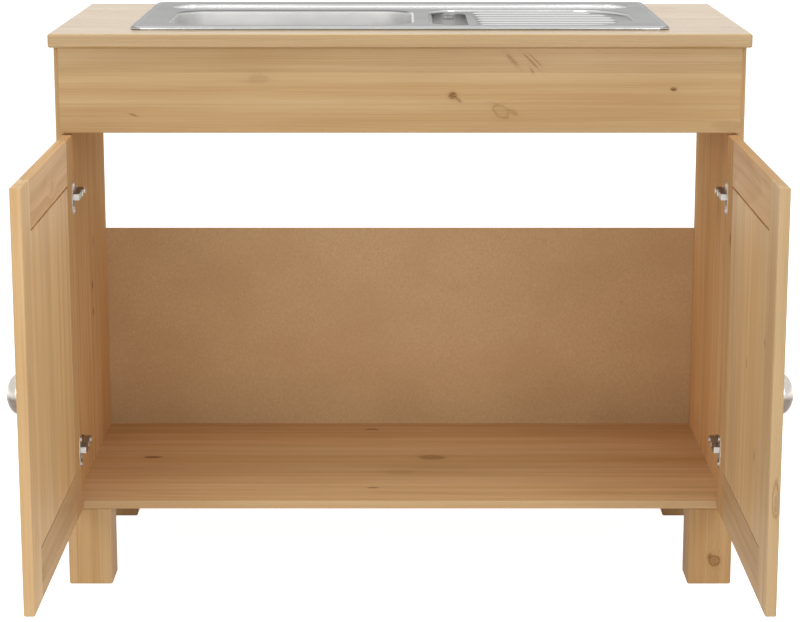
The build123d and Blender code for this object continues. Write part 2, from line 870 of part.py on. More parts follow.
# ---- wastes
def waste_body():
    """The flanged cup in the bowl's outlet, open to the spigot below."""
    top = bowl_floor + waste_flange_t
    cup_bottom = bowl_floor - waste_cup_depth
    body = rod_z(bowl_floor, top, waste_x, waste_y, waste_flange_r)
    body += rod_z(cup_bottom, bowl_floor, waste_x, waste_y, waste_cup_r)
    body -= rod_z(cup_bottom + waste_cup_t, top, waste_x, waste_y, waste_cup_r - waste_cup_t)
    return body - rod_z(cup_bottom, cup_bottom + waste_cup_t, waste_x, waste_y, outlet_r - outlet_t)


def waste_outlet():
    top = bowl_floor - waste_cup_depth
    plate = rod_z(top - outlet_base_t, top, waste_x, waste_y, waste_cup_r)
    tube = rod_z(top - outlet_l, top, waste_x, waste_y, outlet_r)
    bore = rod_z(top - outlet_l, top, waste_x, waste_y, outlet_r - outlet_t)
    return plate + tube - bore


def waste_gasket():
    under = bowl_floor - sheet_t
    return ring_z(under - gasket_t, under, waste_x, waste_y, gasket_r, waste_hole_r)


def waste_nut():
    top = bowl_floor - sheet_t - gasket_t
    return ring_z(top - nut_t, top, waste_x, waste_y, nut_r, waste_cup_r + nut_play)


def waste_basket():
    """The lift-out strainer: a shallow cup with a knob and a ring of holes."""
    z0 = bowl_floor - waste_cup_depth + waste_cup_t
    r = waste_cup_r - waste_cup_t - basket_play
    cup = ring_z(z0, z0 + basket_h, waste_x, waste_y, r, r - basket_t)
    cup += rod_z(z0, z0 + basket_t, waste_x, waste_y, r)
    cup += ring_z(z0 + basket_h - basket_t, z0 + basket_h, waste_x, waste_y, r + basket_rim, r - basket_t)
    cup += rod_z(z0, z0 + knob_h, waste_x, waste_y, knob_r)
    for number in range(basket_hole_count):
        turn = math.radians(360 * number / basket_hole_count)
        x = waste_x + basket_hole_ring * math.cos(turn)
        y = waste_y + basket_hole_ring * math.sin(turn)
        cup -= rod_z(z0, z0 + basket_t, x, y, basket_hole_r)
    return cup


def scrap_waste():
    top = scrap_floor + scrap_waste_t
    thread_end = scrap_floor - scrap_thread_l
    tube_end = thread_end - scrap_tube_l
    body = rod_z(scrap_floor, top, scrap_mid_x, scrap_mid_y, scrap_waste_r)
    body += rod_z(thread_end, scrap_floor, scrap_mid_x, scrap_mid_y, scrap_thread_r)
    body += rod_z(tube_end, thread_end, scrap_mid_x, scrap_mid_y, scrap_tube_r)
    body -= rod_z(tube_end, scrap_floor, scrap_mid_x, scrap_mid_y, scrap_tube_r - scrap_tube_t)
    for number in range(scrap_hole_count):
        turn = math.radians(360 * number / scrap_hole_count)
        x = scrap_mid_x + scrap_hole_ring * math.cos(turn)
        y = scrap_mid_y + scrap_hole_ring * math.sin(turn)
        body -= rod_z(scrap_floor, top, x, y, scrap_drain_r)
    return body


def scrap_nut():
    top = scrap_floor - sheet_t
    return ring_z(top - scrap_nut_t, top, scrap_mid_x, scrap_mid_y, scrap_nut_r, scrap_thread_r + nut_play)


def overflow():
    """The overflow's slotted plate on the scrap bowl's rear wall, with its spigot behind."""
    wall = scrap_y[1]
    z = overflow_z()
    across = (scrap_mid_x - overflow_w / 2, scrap_mid_x + overflow_w / 2)
    face = wall - overflow_t - overflow_bulge
    plate = block(across, (face, wall), (z - overflow_h / 2, z + overflow_h / 2)) & scrap_tray(0.0)
    spigot = rod_y(wall, wall + sheet_t + overflow_spigot_l, scrap_mid_x, z, overflow_spigot_r)
    bore = rod_y(face, wall + sheet_t + overflow_spigot_l, scrap_mid_x, z, overflow_spigot_r - overflow_t)
    slot = block((across[0] + overflow_slot, across[1] - overflow_slot), (face, wall),
                 (z - overflow_slot / 2, z + overflow_slot / 2))
    return (plate - slot) + (spigot - bore)


# ---- files
def save_body():
    for name, shape in zip(("left", "right"), both_sides(side_panel())):
        save(f"side_panel_{name}", shape)
    save("bottom_panel", bottom_panel())
    save("back_panel", back_panel())
    save("front_apron", front_apron())
    save("apron_blocks", *both_sides(apron_block()))
    save("rear_stretcher", rear_stretcher())
    save("worktop", worktop())
    for place, y0 in zip(("front", "rear"), leg_starts()):
        for name, shape in zip(("left", "right"), both_sides(leg(y0))):
            save(f"leg_{place}_{name}", shape)
    save("leg_dowels", *[solid for rod in leg_dowels() for solid in both_sides(rod)])
    save("side_dowels", *[solid for rod in side_dowels() for solid in both_sides(rod)])
    nails = [solid for one in side_nails() for solid in both_sides(one)]
    save("back_panel_nails", *nails, *bottom_nails())
    save("worktop_brackets", *[solid for y in bracket_places() for solid in both_sides(bracket(y))])
    screws = side_bracket_screws() + top_bracket_screws()
    save("bracket_screws", *[solid for one in screws for solid in both_sides(one)])


def save_hinges():
    for place, level in zip(("lower", "upper"), hinge_levels):
        for name, shape in zip(("left", "right"), both_sides(hinge_arm(level))):
            save(f"hinge_arm_{place}_{name}", shape)
    save("hinge_plates", *[solid for level in hinge_levels for solid in both_sides(hinge_plate(level))])
    save("hinge_plate_screws", *[solid for one in plate_screws() for solid in both_sides(one)])
    save("hinge_arm_screws", *[solid for one in arm_screws() for solid in both_sides(one)])


def save_doors():
    pieces = {
        "hinge_stile": [hinge_stile()],
        "free_stile": [free_stile()],
        "top_rail": [top_rail()],
        "bottom_rail": [bottom_rail()],
        "panel": [door_panel()],
        "hinge_cup_lower": [hinge_cup(hinge_levels[0])],
        "hinge_cup_upper": [hinge_cup(hinge_levels[1])],
        "hinge_pins": [hinge_pin(level) for level in hinge_levels],
        "hinge_cup_screws": cup_screws(),
        "handle": [handle()],
        "handle_screws": handle_screws(),
    }
    for name, solids in pieces.items():
        right = [opened(solid) for solid in solids]
        save(f"door_right_{name}", *right)
        save(f"door_left_{name}", *[mirrored(solid) for solid in right])


def save_sink():
    save("sink", sink())
    save("sink_seal", sink_seal())
    save("sink_clips", *placed(clip()))
    save("sink_clip_screws", *placed(clip_screw()))
    save("waste_body", waste_body())
    save("waste_outlet", waste_outlet())
    save("waste_gasket", waste_gasket())
    save("waste_nut", waste_nut())
    save("waste_basket", waste_basket())
    save("scrap_waste", scrap_waste())
    save("scrap_nut", scrap_nut())
    save("overflow", overflow())


save_body()
save_hinges()
save_doors()
save_sink()
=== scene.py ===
# Looks of the kitchen sink unit: pine boards, hardboard back, steel sink and small fittings.
# Metres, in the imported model's own frame: X to the right, Y to the back, Z up. The packed
# nodes keep their places, so object texture coordinates are places on the unit, and grain,
# knots and seams are given as real positions.
import json
import math
import bpy
import bmesh
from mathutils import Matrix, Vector


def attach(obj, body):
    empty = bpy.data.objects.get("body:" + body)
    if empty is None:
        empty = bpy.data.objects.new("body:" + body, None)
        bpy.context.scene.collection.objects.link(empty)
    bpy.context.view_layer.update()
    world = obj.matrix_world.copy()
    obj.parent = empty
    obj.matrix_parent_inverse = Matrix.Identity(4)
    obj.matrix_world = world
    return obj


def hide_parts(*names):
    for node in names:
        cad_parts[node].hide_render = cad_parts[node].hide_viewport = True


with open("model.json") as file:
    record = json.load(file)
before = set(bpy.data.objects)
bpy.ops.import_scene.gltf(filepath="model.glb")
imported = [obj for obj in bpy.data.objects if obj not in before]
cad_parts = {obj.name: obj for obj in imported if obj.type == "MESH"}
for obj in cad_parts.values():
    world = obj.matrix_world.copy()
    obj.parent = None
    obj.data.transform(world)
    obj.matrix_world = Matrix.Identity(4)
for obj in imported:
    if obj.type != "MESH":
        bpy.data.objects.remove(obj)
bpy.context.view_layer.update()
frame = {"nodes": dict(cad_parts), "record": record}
nodes = frame["nodes"]

MM = 0.001

# ---- camera, found by fitting the unit's corners in the photograph
CAMERA_PLACE = (0.0, -3.4185, 1.159)
CAMERA_DOWN = math.radians(12.2)
CAMERA_LENS = 107.9
SENSOR = 36.0
CAMERA_REACH = 200.0

# ---- light
WORLD_LIGHT = 0.54
FLOOR_GLOW = 0.85
FLOOR_REACH = 60.0
# height, from level to overhead, and brightness
SKY_STOPS = ((0.0, 1.0), (0.12, 1.0), (0.22, 0.88), (0.45, 0.94), (0.75, 0.94), (1.0, 0.94))
# name, place, aim, size, power
LAMPS = (("overhead", (0.0, -0.35, 2.8), (0.0, 0.1, 0.4), (3.8, 0.9), 24),
         ("behind", (0.0, 1.2, 2.8), (0.0, 0.2, 0.8), (2.8, 0.9), 8),
         ("front_left", (-1.6, -4.0, 1.5), (0.0, 0.0, 0.40), (1.8, 1.6), 36),
         ("front_right", (1.6, -4.0, 1.5), (0.0, 0.0, 0.40), (1.8, 1.6), 34))

# ---- sink, in the source's values
LAND_Z = 0.8285
SINK_HALF = 0.390
SINK_Y = (0.0385, 0.4685)
SINK_CORNER = 0.020
SEAL_TOP = 0.8258
SHEET = 0.001
BEAD_RISE = 0.001
BOWL_X = (-0.346, 0.022)
BOWL_Y = (0.0785, 0.3275)
BOWL_DEPTH = 0.130
DRAIN_X = (0.041, 0.350)
DRAIN_Y = (0.0785, 0.3385)
DRAIN_DEPTH = 0.005
SCRAP_X = (0.047, 0.103)
SCRAP_Y = (0.0845, 0.3325)
SCRAP_DEPTH = 0.070
LEDGE_HALF = 0.363
LEDGE_Y = (0.3505, 0.4345)
LEDGE_DEPTH = 0.0045
WASTE_HOLE = 0.042
SCRAP_HOLE = 0.014
BOWL_CORNER = 0.055
BOWL_EDGE = 0.005        # rounding where the bowl's wall meets the land
BOWL_FLOOR_R = 0.022
LEDGE_CORNER = 0.041
LEDGE_EDGE = 0.0022
DRAIN_CORNERS = (0.045, 0.090)   # left and right
DRAIN_EDGE = 0.0024
SCRAP_CORNER = 0.027
SCRAP_EDGE = 0.0020
SCRAP_FLOOR_R = 0.008
LEAST_CORNER = 0.0015
RIB_CORNER = 0.0134
RIB_GAP = 0.011
RIB_MARGIN = 0.0215
RIB_FOOT = LAND_Z - 0.0034
RIB_STARTS = (10.5, 10.5, 9.5, 9.0, 7.0, 4.5)      # mm from the scrap bowl, front rib first
RIB_ENDS = (34.0, 25.0, 22.5, 24.5, 31.0, 51.0)    # mm from the drainer's right end
RIB_PROFILE = ((0.0, 0.0), (0.0006, 0.0001), (0.0020, 0.0008), (0.0040, 0.0015), (0.0060, 0.0021),
               (0.0080, 0.0025), (0.0100, 0.0028), (0.0124, 0.0030))   # inset and height of the crown


# ---------------------------------------------------------------- colours and node helpers
def srgb(red, green, blue):
    """A screen colour, 0 to 255, as the shader's linear colour."""
    parts = [value / 255 for value in (red, green, blue)]
    linear = [p / 12.92 if p <= 0.04045 else ((p + 0.055) / 1.055) ** 2.4 for p in parts]
    return (*linear, 1.0)


WHITE = (1.0, 1.0, 1.0, 1.0)
DARK_EDGE = (0.25, 0.22, 0.20, 1.0)   # plated metal's shine at a grazing angle
ARM_EDGE = (0.55, 0.52, 0.48, 1.0)    # the same on the hinge arms


class Maker:
    """Builds the node tree of a material or of the world with short calls."""

    def __init__(self, owner):
        self.owner = owner
        owner.use_nodes = True
        self.tree = owner.node_tree
        self.tree.nodes.clear()

    def node(self, kind, inputs=None, **settings):
        made = self.tree.nodes.new(kind)
        for key, value in settings.items():
            setattr(made, key, value)
        for key, value in (inputs or {}).items():
            self.feed(made.inputs[key], value)
        return made

    def feed(self, socket, value):
        if isinstance(value, bpy.types.NodeSocket):
            self.tree.links.new(value, socket)
        else:
            socket.default_value = value

    def math(self, operation, a, b=0.0, clamp=False):
        return self.node("ShaderNodeMath", {0: a, 1: b}, operation=operation, use_clamp=clamp).outputs[0]

    def add(self, a, b):
        return self.math("ADD", a, b)

    def times(self, a, b):
        return self.math("MULTIPLY", a, b)

    def scaled(self, value, low, high, to_low=0.0, to_high=1.0):
        """Maps one range on another, held at its ends."""
        inputs = {"Value": value, "From Min": low, "From Max": high, "To Min": to_low, "To Max": to_high}
        return self.node("ShaderNodeMapRange", inputs, clamp=True).outputs[0]

    def vector(self, x, y, z):
        return self.node("ShaderNodeCombineXYZ", {0: x, 1: y, 2: z}).outputs[0]

    def place(self, kind="Object"):
        """X, Y and Z of the shaded point in the unit's frame, or of a view into the world."""
        place = self.node("ShaderNodeTexCoord").outputs[kind]
        return self.node("ShaderNodeSeparateXYZ", {0: place}).outputs

    def noise(self, vector, scale=1.0, detail=2.0, roughness=0.5, distortion=0.0):
        inputs = {"Vector": vector, "Scale": scale, "Detail": detail, "Roughness": roughness,
                  "Distortion": distortion}
        return self.node("ShaderNodeTexNoise", inputs).outputs[0]

    def grain(self, place, scales, **settings):
        """Noise at a place, stretched by a scale of its own along each axis."""
        x, y, z = place
        vector = self.vector(self.times(x, scales[0]), self.times(y, scales[1]), self.times(z, scales[2]))
        return self.noise(vector, **settings)

    def mix(self, factor, a, b, blend="MIX"):
        made = self.node("ShaderNodeMix", data_type="RGBA", blend_type=blend, clamp_factor=True)
        self.feed(made.inputs[0], factor)
        self.feed(made.inputs[6], a)
        self.feed(made.inputs[7], b)
        return made.outputs[2]

    def grey(self, value):
        return self.node("ShaderNodeCombineColor", {0: value, 1: value, 2: value}).outputs[0]

    def background_ray(self):
        """1 for the camera's rays, reflections and what is seen through glass, 0 for light."""
        path = self.node("ShaderNodeLightPath").outputs
        seen = self.math("MAXIMUM", path["Is Camera Ray"], path["Is Glossy Ray"])
        return self.math("MAXIMUM", seen, path["Is Transmission Ray"])

    def finish(self, bump=None, bump_distance=0.0002, bump_strength=0.5, **shader):
        """Ends the tree in one principled shader. Names are its sockets', with _ for a space."""
        surface = self.node("ShaderNodeBsdfPrincipled")
        for key, value in shader.items():
            self.feed(surface.inputs[key.replace("_", " ")], value)
        if bump is not None:
            raised = {"Height": bump, "Distance": bump_distance, "Strength": bump_strength}
            bumped = self.node("ShaderNodeBump", raised)
            self.feed(surface.inputs["Normal"], bumped.outputs[0])
        self.node("ShaderNodeOutputMaterial", {"Surface": surface.outputs[0]})
        return self.owner


def new_material(name):
    return Maker(bpy.data.materials.new(name))


# ---------------------------------------------------------------- pine
PALE = srgb(218, 188, 146)
HONEY = srgb(204, 169, 123)
LATE = srgb(170, 128, 80)
STREAK = srgb(184, 144, 98)
KNOT_RING = srgb(158, 112, 66)
KNOT_HEART = srgb(84, 50, 26)
KNOT_RIM = srgb(124, 78, 40)
SEAM = srgb(150, 112, 70)
# painted shade: SHADED tints boards that stand in shade, inside the unit and the doors' rails
SHADED = (1.03, 0.97, 0.92, 1.0)       # tint of the boards inside, a little redder
# painted shade: a redder tint for the hinge stiles, which stand in shade
HINGE_SIDE = (1.05, 0.95, 0.86, 1.0)   # tint of the hinge stiles
# painted light and shade: a near-neutral tint for the lit front leg, a darker, redder one for the legs in
# shade
LEG_FRONT = (1.02, 0.99, 0.96, 1.0)
LEG_SHADED = (1.03, 0.93, 0.81, 1.0)
# an axis, a level on it, and the tints below and above that level
FRONT_EDGE = ("Y", 0.0080, (0.88, 0.94, 1.02, 1.0), WHITE)
# painted sheen: the worktop's top tinted paler and greyer, its front edge below that level darker and warmer
WORKTOP_PAINTED_SHEEN = ("Z", 0.8246, (0.90, 0.84, 0.62, 1.0), (1.13, 1.16, 1.13, 1.0))
RING = 0.0030                          # width of a year's growth
SEAM_W = 0.0005
RAIL_ENDS = (-0.4125, -0.0675)         # ends of the open doors' rails, along Y
ARM_FRONT = -0.0072                    # front of the hinges' goosenecks, along Y
HANDLE_Z = 0.40825                     # middle of the handles


def knot(place, side, radius, stretch=1.0, fill=0.8, rim=0.5, turn=0.0, bend=1.0, broken=0.5,
         edge=False):
    """A knot or a stain. place is along the grain, side across it, or through the board where it
    is on the board's edge. fill darkens its body, rim its outline; turn is its angle to the grain,
    bend how far the grain goes round it, broken how ragged it is."""
    return {"place": place, "side": side, "radius": radius, "stretch": stretch, "fill": fill,
            "rim": rim, "turn": math.radians(turn), "bend": bend, "broken": broken, "edge": edge}


def knot_distance(m, k, along, across, wander):
    """Distance to a knot's middle, in its radii."""
    g = m.add(along, -k["place"])
    u = m.add(across, -k["side"])
    cos, sin = math.cos(k["turn"]), math.sin(k["turn"])
    long = m.times(m.add(m.times(g, cos), m.times(u, sin)), 1 / (k["radius"] * k["stretch"]))
    wide = m.times(m.add(m.times(u, cos), m.times(g, -sin)), 1 / k["radius"])
    near = m.math("SQRT", m.add(m.times(long, long), m.times(wide, wide)))
    return m.add(near, m.times(m.add(wander, -0.5), 1.1))


def paint_knot(m, k, near, ragged, colour, bump):
    """Lays a knot's halo, ringed body and dark outline on the wood. Returns colour and bump."""
    halo = m.scaled(near, 2.4, 1.0)
    colour = m.mix(m.times(halo, 0.22 * k["fill"]), colour, KNOT_RING)
    body = m.times(m.scaled(near, 1.15, 0.70), m.scaled(ragged, 0.30, 0.62, 1.0 - k["broken"], 1.0))
    rings = m.scaled(m.math("SINE", m.times(near, 15.0)), -1.0, 1.0, 0.35, 0.9)
    heart = m.mix(rings, KNOT_RING, KNOT_HEART)
    colour = m.mix(m.times(body, k["fill"]), colour, heart)
    line = m.times(m.add(near, -1.0), 6.0)
    rim = m.math("EXPONENT", m.times(m.times(line, line), -1.0))
    rim = m.times(rim, m.scaled(ragged, 0.25, 0.55, 1.0 - k["broken"], 1.0))
    colour = m.mix(m.times(rim, k["rim"]), colour, KNOT_RIM)
    return colour, m.add(bump, m.times(rim, -0.6 * k["rim"]))


def pine(name, grain, across, seed, strip=0.045, offset=0.0, tone=1.0, knots=(), figure=1.0,
         sheen=0.06, rough=0.42, joints=(), cap=None, hue=None):
    """Lacquered pine glued from strips. grain and across are axes of the unit's frame, joints are
    places along the grain with a dark line. cap is an axis and a level on it, with the tints below
    and above that, and hue a tint for the whole board."""
    m = new_material(name)
    axes = dict(zip("XYZ", m.place()))
    depth = ({"X", "Y", "Z"} - {grain, across}).pop()
    g, u, w = axes[grain], axes[across], axes[depth]

    strip_at = m.times(m.add(u, 10.0 + offset), 1 / strip)
    number = m.math("FLOOR", strip_at)
    chance = m.node("ShaderNodeTexWhiteNoise", {"W": m.add(number, seed * 7.31)}, noise_dimensions="1D")
    red, green, blue = m.node("ShaderNodeSeparateColor", {0: chance.outputs["Color"]}).outputs[:3]
    shift = m.add(m.times(number, 1.7), seed * 3.3)

    def along_grain(long, wide, **settings):
        at = m.vector(m.add(m.times(g, long), shift), m.times(u, wide), m.times(w, wide))
        return m.noise(at, **settings)

    sway = along_grain(2.2, 8, detail=2)
    shiver = along_grain(22, 110, detail=2)
    bend = m.add(m.times(m.add(sway, -0.5), 0.012), m.times(m.add(shiver, -0.5), 0.0016))

    centre = m.times(m.add(number, 0.5), strip)
    aside = m.add(m.add(u, 10.0 + offset), m.times(centre, -1.0))
    aside = m.add(m.add(aside, bend), m.times(m.add(red, -0.5), 0.16))
    lean = m.times(m.add(blue, -0.5), 0.035)
    below = m.add(m.add(w, m.times(g, lean)), m.add(m.times(green, 0.05), 0.020))
    below = m.add(below, m.times(m.add(sway, -0.5), 0.006))
    radius = m.math("SQRT", m.add(m.times(aside, aside), m.times(below, below)))

    nears = [knot_distance(m, k, g, w if k["edge"] else u, shiver) for k in knots]
    for k, near in zip(knots, nears):
        swell = m.math("EXPONENT", m.times(m.times(near, near), -0.20))
        radius = m.add(radius, m.times(swell, k["radius"] * 0.8 * k["bend"]))

    year = m.math("FRACT", m.times(radius, 1 / RING))
    late = m.math("POWER", year, 2.4)
    late = m.times(late, m.scaled(year, 1.0, 0.90))
    fibre = along_grain(9, 700, detail=3, roughness=0.6)
    broad = along_grain(1.3, 60, detail=3, roughness=0.55)
    cloud = m.noise(m.vector(m.times(g, 3), m.add(m.times(u, 9), seed), m.times(w, 9)), detail=2)

    colour = m.mix(m.scaled(broad, 0.32, 0.68), PALE, HONEY)
    colour = m.mix(m.times(m.scaled(cloud, 0.45, 0.75), 0.35), colour, STREAK)
    chosen = m.noise(m.vector(m.times(radius, 190), shift, m.times(g, 1.5)), detail=1)
    strong = m.scaled(chosen, 0.38, 0.66, 0.08 * figure, 0.46 * figure)
    weight = m.times(m.scaled(broad, 0.3, 0.75, 0.35, 1.0), strong)
    colour = m.mix(m.times(late, weight), colour, LATE)
    colour = m.mix(m.times(m.scaled(fibre, 0.50, 0.78), 0.28), colour, STREAK)
    streak = along_grain(1.9, 300, detail=2)
    colour = m.mix(m.times(m.scaled(streak, 0.58, 0.80), 0.34), colour, LATE)

    bump = m.add(m.times(fibre, 0.5), m.times(late, 0.3))
    ragged = m.grain((g, u, w), (420, 620, 620), detail=2)
    for k, near in zip(knots, nears):
        colour, bump = paint_knot(m, k, near, ragged, colour, bump)

    level = m.scaled(m.math("FRACT", m.times(red, 13.7)), 0.0, 1.0, 0.94 * tone, 1.04 * tone)
    warm = m.scaled(green, 0.0, 1.0, 0.92, 1.03)
    tint = m.node("ShaderNodeCombineColor", {0: level, 1: m.times(level, m.add(m.times(warm, 0.35), 0.65)),
                                             2: m.times(level, warm)}).outputs[0]
    colour = m.mix(1.0, colour, tint, "MULTIPLY")
    edge = m.math("ABSOLUTE", m.add(m.math("FRACT", strip_at), -0.5))
    seam = m.scaled(edge, 0.5 - SEAM_W / strip, 0.5)
    colour = m.mix(m.times(seam, 0.30), colour, SEAM)
    bump = m.add(bump, m.times(seam, -0.5))
    for at in joints:
        line = m.scaled(m.math("ABSOLUTE", m.add(g, -at)), 0.0012, 0.0004)
        colour = m.mix(m.times(line, 0.55), colour, KNOT_RING)
    if cap:
        axis, level, low, high = cap
        tint = m.mix(m.scaled(axes[axis], level - 0.0012, level), low, high)
        colour = m.mix(1.0, colour, tint, "MULTIPLY")
    if hue:
        colour = m.mix(1.0, colour, hue, "MULTIPLY")
    roughness = m.add(m.scaled(fibre, 0.3, 0.7, rough, rough + 0.12), m.times(late, 0.05))
    return m.finish(bump=bump, bump_distance=0.00012, bump_strength=0.5, Base_Color=colour,
                    Roughness=roughness, IOR=1.45, Specular_IOR_Level=sheen)


# ---------------------------------------------------------------- other materials
def hardboard():
    """Smooth brown hardboard with its short felted fibres."""
    m = new_material("hardboard")
    place = m.place()
    felt = m.grain(place, (330, 330, 250), detail=5, roughness=0.7, distortion=0.9)
    speck = m.grain(place, (900, 900, 700), detail=2)
    cloud = m.grain(place, (7, 7, 9), detail=4, roughness=0.6)
    colour = m.mix(m.scaled(felt, 0.34, 0.66), srgb(202, 167, 125), srgb(221, 190, 146))
    colour = m.mix(m.times(m.scaled(cloud, 0.42, 0.66), 0.30), colour, srgb(192, 154, 112))
    colour = m.mix(m.times(m.scaled(speck, 0.62, 0.74), 0.30), colour, srgb(138, 98, 62))
    # painted shade: darker towards the bottom edge, where the back meets the cabinet's floor
    low = m.scaled(place[2], 0.125, 0.240, 0.86, 1.0)
    colour = m.mix(1.0, colour, m.grey(low), "MULTIPLY")
    bump = m.add(felt, m.times(speck, 0.5))
    return m.finish(bump=bump, bump_distance=0.0001, bump_strength=0.5, Base_Color=colour,
                    Roughness=m.scaled(felt, 0.3, 0.7, 0.55, 0.68), Specular_IOR_Level=0.2)


def steel(name, base, rough, brush_axis="X", scratch=0.5, edge_tint=WHITE):
    """Satin steel with fine brushing along one axis, faint smudges and tiny scratches."""
    m = new_material(name)
    place = m.place()
    long = {"X": (12, 900, 900), "Y": (900, 12, 900), "Z": (900, 900, 12)}[brush_axis]
    brush = m.grain(place, long, detail=2)
    smudge = m.grain(place, (16, 16, 16), detail=3)
    grains = m.grain(place, (1500, 1500, 1500), detail=1)
    low = tuple(0.93 * c for c in base[:3]) + (1.0,)
    colour = m.mix(m.scaled(brush, 0.3, 0.7), low, base)
    roughness = m.add(m.scaled(smudge, 0.35, 0.7, rough - 0.03, rough + 0.05),
                      m.times(m.add(brush, -0.5), 0.10 * scratch))
    bump = m.add(m.times(brush, scratch), m.times(grains, 0.3))
    return m.finish(bump=bump, bump_distance=0.00002, bump_strength=0.4, Base_Color=colour,
                    Roughness=roughness, Metallic=1.0, Specular_Tint=edge_tint)


def within(m, axis, span, outer, inner):
    """1 inside a span of one axis, fading to 0 between two distances outside its ends."""
    return m.times(m.scaled(axis, span[0] - outer, span[0] - inner),
                   m.scaled(axis, span[1] + outer, span[1] + inner))


def sink_steel():
    """Stainless steel: a brushed land with a darker grey base as painted reflection, a polished bead and
    drainer with a paler base, partly as painted highlight, duller, paler bowls, and a painted reflection
    round the bowl's rim.
    """
    m = new_material("stainless")
    place = m.place()
    x, y, z = place
    brush = m.grain(place, (14, 1100, 1100), detail=2)
    smudge = m.grain(place, (9, 14, 20), detail=3)
    grains = m.grain(place, (1500, 1500, 1500), detail=1)
    sunk = m.scaled(z, LAND_Z - 0.0004, LAND_Z - 0.0018)
    raised = m.scaled(z, LAND_Z + 0.0002, LAND_Z + 0.0007)
    raised = m.times(raised, m.scaled(m.math("ABSOLUTE", x), SINK_HALF - 0.006, SINK_HALF - 0.012))
    foot = m.times(m.scaled(z, RIB_FOOT, RIB_FOOT - 0.0003), m.scaled(x, DRAIN_X[0] - 0.001, DRAIN_X[0]))
    foot = m.times(foot, m.scaled(y, DRAIN_Y[1] + 0.004, DRAIN_Y[1] + 0.002))
    basin = m.times(within(m, x, BOWL_X, 0.006, 0.004), within(m, y, BOWL_Y, 0.006, 0.004))
    # painted reflection round the bowl's rounded rim: dark at the back, pale towards the right, grey on the
    # left
    below = m.scaled(z, LAND_Z - 0.0001, LAND_Z - 0.0004)
    above = m.scaled(z, LAND_Z - 0.0030, LAND_Z - 0.0018)
    painted_rim_reflection = m.times(m.times(below, above), basin)
    right = m.scaled(x, BOWL_X[1] - 0.1, BOWL_X[1] - 0.05)
    rim_side_reflection_tone = m.mix(right, srgb(150, 150, 148), srgb(238, 237, 236))
    behind = m.scaled(y, BOWL_Y[1] - 0.045, BOWL_Y[1] - 0.025)
    rim_reflection_tone = m.mix(behind, rim_side_reflection_tone, srgb(98, 98, 96))
    # polished pressings, partly real and partly painted highlight: ribs, ledge and bead get a paler base; the
    # drainer floor between the ribs keeps the land's grey
    off = m.math("MAXIMUM", foot, basin)
    polished = m.math("MAXIMUM", m.times(sunk, m.add(1.0, m.times(off, -1.0))), raised)
    deep = m.scaled(z, LAND_Z - 0.006, LAND_Z - 0.020)
    inside = m.math("MAXIMUM", deep, m.times(basin, m.scaled(z, LAND_Z - 0.0002, LAND_Z - 0.0020)))
    # painted reflection: the flat land gets a darker grey base, the polished zones a pale one as painted
    # highlight
    land = m.mix(m.scaled(brush, 0.3, 0.7), srgb(130, 130, 129), srgb(142, 142, 140))
    painted_highlight_tone = m.mix(m.scaled(brush, 0.3, 0.7), srgb(216, 215, 215), srgb(228, 227, 227))
    bowl = m.mix(m.scaled(smudge, 0.35, 0.65), srgb(198, 197, 196), srgb(218, 217, 215))
    colour = m.mix(inside, m.mix(polished, land, painted_highlight_tone), bowl)
    colour = m.mix(m.times(painted_rim_reflection, 0.85), colour, rim_reflection_tone)
    roughness = m.add(m.scaled(smudge, 0.35, 0.7, 0.30, 0.36), m.times(m.add(brush, -0.5), 0.05))
    roughness = m.add(roughness, m.times(polished, -0.16))
    roughness = m.add(roughness, m.times(inside, 0.14))
    metal = m.scaled(inside, 0.0, 1.0, 1.0, 0.45)
    bump = m.add(m.times(brush, 0.5), m.times(grains, 0.3))
    return m.finish(bump=bump, bump_distance=0.00002, bump_strength=0.20, Base_Color=colour,
                    Roughness=roughness, Metallic=metal)


def handle_nickel():
    """Brushed nickel with a painted reflection: paler on the upper half, dark brownish below."""
    m = new_material("nickel")
    place = m.place()
    brush = m.grain(place, (900, 900, 14), detail=2)
    smudge = m.grain(place, (40, 40, 40), detail=3)
    # painted reflection: the base is pale above the handle's middle and dark below, with a ragged border
    level = m.add(place[2], m.times(m.add(smudge, -0.5), 0.006))
    painted_reflection = m.scaled(level, HANDLE_Z - 0.003, HANDLE_Z + 0.005)
    dark = m.mix(m.scaled(brush, 0.3, 0.7), srgb(112, 102, 93), srgb(128, 118, 108))
    pale = m.mix(m.scaled(brush, 0.3, 0.7), srgb(212, 205, 196), srgb(226, 219, 211))
    colour = m.mix(painted_reflection, dark, pale)
    roughness = m.add(m.scaled(smudge, 0.35, 0.7, 0.20, 0.27), m.times(m.add(brush, -0.5), 0.06))
    return m.finish(bump=brush, bump_distance=0.00002, bump_strength=0.4, Base_Color=colour,
                    Roughness=roughness, Metallic=1.0)


def hinge_arm_plating():
    """Nickel plating of the hinge arms, with a painted highlight on the gooseneck's front and painted shade,
    a darker base, on the rest of the arm.
    """
    m = new_material("hinge_arm_nickel")
    place = m.place()
    brush = m.grain(place, (900, 900, 40), detail=2)
    # painted highlight on the gooseneck's front face; the rest of the arm gets a darker base as painted shade
    front = m.scaled(place[1], ARM_FRONT + 0.0008, ARM_FRONT + 0.0002)
    body = m.mix(m.scaled(brush, 0.3, 0.7), srgb(158, 150, 141), srgb(178, 170, 160))
    colour = m.mix(front, body, srgb(246, 244, 239))
    roughness = m.add(m.scaled(brush, 0.3, 0.7, 0.26, 0.34), m.times(front, 0.12))
    return m.finish(bump=brush, bump_distance=0.00002, bump_strength=0.4, Base_Color=colour,
                    Roughness=roughness, Metallic=m.scaled(front, 0.0, 1.0, 0.85, 0.5),
                    Specular_Tint=ARM_EDGE)


